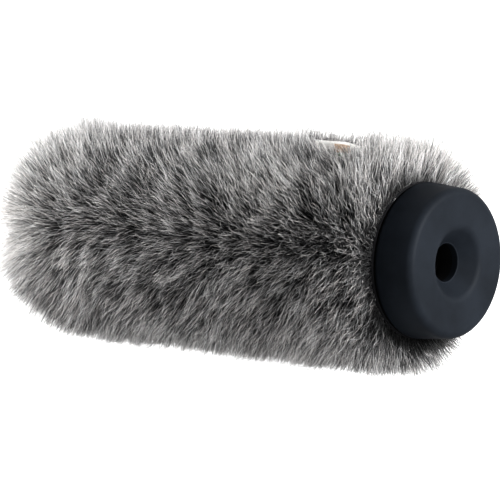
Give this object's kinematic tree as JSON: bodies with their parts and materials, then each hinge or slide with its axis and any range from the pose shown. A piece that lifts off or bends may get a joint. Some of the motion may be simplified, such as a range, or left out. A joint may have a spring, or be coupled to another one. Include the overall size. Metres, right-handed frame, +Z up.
{
  "type": "microphone windscreen",
  "caption": "Furry windscreen for a shotgun microphone: a long fur cylinder with a rounded nose, and a rubber rear cap with a gripping hole.",
  "frame": {"origin": "centre of the microphone hole's mouth, where its gripping wall starts, at the bottom of the cap's recess", "axes": "+X along the microphone's axis, rearwards out of the hole; +Z up, with the label near the top"},
  "size_m": [0.2852, 0.12, 0.1185],
  "materials": {
    "cap_rubber": "smooth satin moulded rubber",
    "insert_plastic": "plain moulded plastic",
    "collar_rubber": "soft matt rubber",
    "core_foam": "open-cell foam",
    "liner_knit": "fine knitted liner",
    "pad_felt": "pressed felt",
    "backing_knit": "knitted pile backing",
    "fur": "mixed grey faux fur with light tips and dark roots",
    "seam_tape": "woven tape",
    "binding_tape": "woven binding",
    "elastic": "covered elastic cord",
    "band_nylon": "nylon band",
    "label_ribbon": "woven satin ribbon",
    "label_weave": "plain woven colour",
    "thread": "sewing thread"
  },
  "bodies": {
    "windscreen": {"rubber_end_cap": "cap_rubber", "cap_insert_ring": "insert_plastic", "mic_grip_collar": "collar_rubber", "foam_sleeve": "core_foam", "foam_nose_plug": "core_foam", "slot_liner": "liner_knit", "tip_stop_pad": "pad_felt", "side_backing_cloth": "backing_knit", "nose_backing_cloth": "backing_knit", "side_fur_pile": "fur", "nose_fur_pile": "fur", "nose_seam_tape": "seam_tape", "side_seam_tape": "seam_tape", "hem_binding": "binding_tape", "hem_elastic": "elastic", "hem_clamp_band": "band_nylon", "label_stitches": "thread"},
    "label": {"side_label": "label_ribbon", "label_bar": "label_weave"}
  },
  "joints": [
    {"name": "label_flap", "type": "hinge", "parent": "windscreen", "child": "label", "pos_m": [-0.062, -0.00562, 0.04001], "axis": [1, 0, 0], "range_deg": [-15, 20], "stiffness_Nm_per_rad": 0.004}
  ]
}
